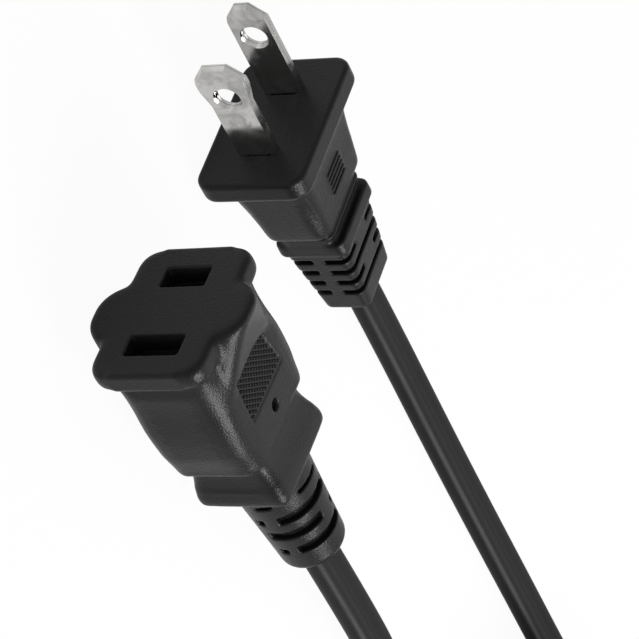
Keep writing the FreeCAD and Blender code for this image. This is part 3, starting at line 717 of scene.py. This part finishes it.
def metal(name, color, dull, rough, roughMore, size, strength, distance):
    material, tree, shader, smear = startMaterial(name, metalSmear, {"Size": size})
    shader.inputs["Metallic"].default_value = 1
    varyColor(tree, shader, smear.outputs["Smudge"], color, dull)
    varyRough(tree, shader, smear.outputs["Smudge"], rough, roughMore)
    addBump(tree, shader, smear.outputs["Height"], strength, distance)
    return material


mouldedBlack = plastic("mouldedBlack", finish["mouldColor"], finish["mouldRough"], finish["mouldSpecular"],
                       finish["grain"], 1.2, 0.9, 0.04)
cordJacket = plastic("cordJacket", finish["cordColor"], finish["cordRough"], 0.12, 0.4, 0.4, 0.3, 0.015)
innerBlock = plastic("innerBlock", finish["blockColor"], 0.5, 0.4, 0.5, 0.4, 0.3, 0.02)
nickel = metal("nickelPlate", finish["nickelColor"], finish["nickelDull"], finish["nickelRough"], 0.24, 0.3,
               0.12, 0.01)
brass = metal("contactBrass", finish["brassColor"], (0.5, 0.34, 0.15), 0.25, 0.4, 0.3, 0.2, 0.01)
copper = metal("copperStrand", finish["copperColor"], (0.6, 0.28, 0.15), 0.28, 0.4, 0.3, 0.2, 0.01)

nodeMaterials = {
    "blade_bridge": innerBlock, "contact_carrier": innerBlock,
    "neutral_contact": brass, "line_contact": brass,
    "wide_blade": nickel, "narrow_blade": nickel,
}
for name, item in nodes.items():
    item.data.materials.clear()
    item.data.materials.append(copper if name.endswith("strands") else nodeMaterials.get(name, cordJacket))
for piece, material in ((plugPiece, mouldedBlack), (connectorPiece, mouldedBlack), (cordPiece, cordJacket),
                        (widePiece, nickel), (narrowPiece, nickel)):
    piece.data.materials.clear()
    piece.data.materials.append(material)
    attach(piece, "root")
print("materials made")

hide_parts("cord_plug_run", "cord_coil", "cord_connector_run")
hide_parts("plug_body")
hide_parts("connector_body")
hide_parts("wide_blade")
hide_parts("narrow_blade")

# Studio: a white floor and world, and soft lamps
studio = {
    "floorSize": 4.0,
    "floorColor": 0.8,
    "floorWhite": 0.95,      # share of plain white that the camera sees in the floor
    "mirrorWhite": 0.45,     # what seenMask gives a reflection, where the camera has one
    "worldLight": 0.3,
    "lamps": [
        # name, direction, distance, size, watts
        ("topBox", (-0.35, 0.5, 0.8), 0.62, 0.5, 0.9),
        ("edgeBox", (0.57, 0.56, 0.6), 0.6, 0.3, 4.2),
    ],
    "target": (0.02, 0.01, 0.01),
}


def seenMask(tree):
    # One where the camera or a view through glass sees the surface, and mirrorWhite where a reflection does
    path = tree.nodes.new("ShaderNodeLightPath")
    mirrored = tree.nodes.new("ShaderNodeMath")
    mirrored.operation = "MULTIPLY"
    mirrored.inputs[1].default_value = studio["mirrorWhite"]
    tree.links.new(path.outputs["Is Glossy Ray"], mirrored.inputs[0])
    first = tree.nodes.new("ShaderNodeMath")
    first.operation = "MAXIMUM"
    tree.links.new(path.outputs["Is Camera Ray"], first.inputs[0])
    tree.links.new(mirrored.outputs[0], first.inputs[1])
    second = tree.nodes.new("ShaderNodeMath")
    second.operation = "MAXIMUM"
    tree.links.new(first.outputs[0], second.inputs[0])
    tree.links.new(path.outputs["Is Transmission Ray"], second.inputs[1])
    return second.outputs[0]


def makeFloor():
    bpy.ops.mesh.primitive_plane_add(size=studio["floorSize"], location=(0, 0, 0))
    item = bpy.context.object
    item.name = "floor"
    material = bpy.data.materials.new("whiteFloor")
    material.use_nodes = True
    tree = material.node_tree
    shader = tree.nodes["Principled BSDF"]
    shader.inputs["Base Color"].default_value = (*[studio["floorColor"]] * 3, 1)
    shader.inputs["Roughness"].default_value = 0.95
    shader.inputs["Specular IOR Level"].default_value = 0
    white = tree.nodes.new("ShaderNodeEmission")
    share = tree.nodes.new("ShaderNodeMath")
    share.operation = "MULTIPLY"
    share.inputs[1].default_value = studio["floorWhite"]
    tree.links.new(seenMask(tree), share.inputs[0])
    mix = tree.nodes.new("ShaderNodeMixShader")
    tree.links.new(share.outputs[0], mix.inputs["Fac"])
    tree.links.new(shader.outputs["BSDF"], mix.inputs[1])
    tree.links.new(white.outputs["Emission"], mix.inputs[2])
    tree.links.new(mix.outputs["Shader"], tree.nodes["Material Output"].inputs["Surface"])
    item.data.materials.append(material)


def makeWorld():
    world = bpy.data.worlds.new("studio")
    bpy.context.scene.world = world
    world.use_nodes = True
    tree = world.node_tree
    background = tree.nodes["Background"]
    background.inputs["Color"].default_value = (1, 1, 1, 1)
    strength = tree.nodes.new("ShaderNodeMapRange")
    strength.inputs["To Min"].default_value = studio["worldLight"]
    strength.inputs["To Max"].default_value = 1
    tree.links.new(seenMask(tree), strength.inputs["Value"])
    tree.links.new(strength.outputs["Result"], background.inputs["Strength"])


def makeLamps():
    target = Vector(studio["target"])
    for name, direction, distance, size, watts in studio["lamps"]:
        data = bpy.data.lights.new(name, "AREA")
        data.energy = watts
        data.size = size
        item = bpy.data.objects.new(name, data)
        item.location = target + Vector(direction).normalized() * distance
        item.rotation_euler = (target - item.location).to_track_quat("-Z", "Y").to_euler()
        bpy.context.scene.collection.objects.link(item)


makeFloor()
makeWorld()
makeLamps()
bpy.context.scene.view_settings.view_transform = "Standard"
print("studio set")
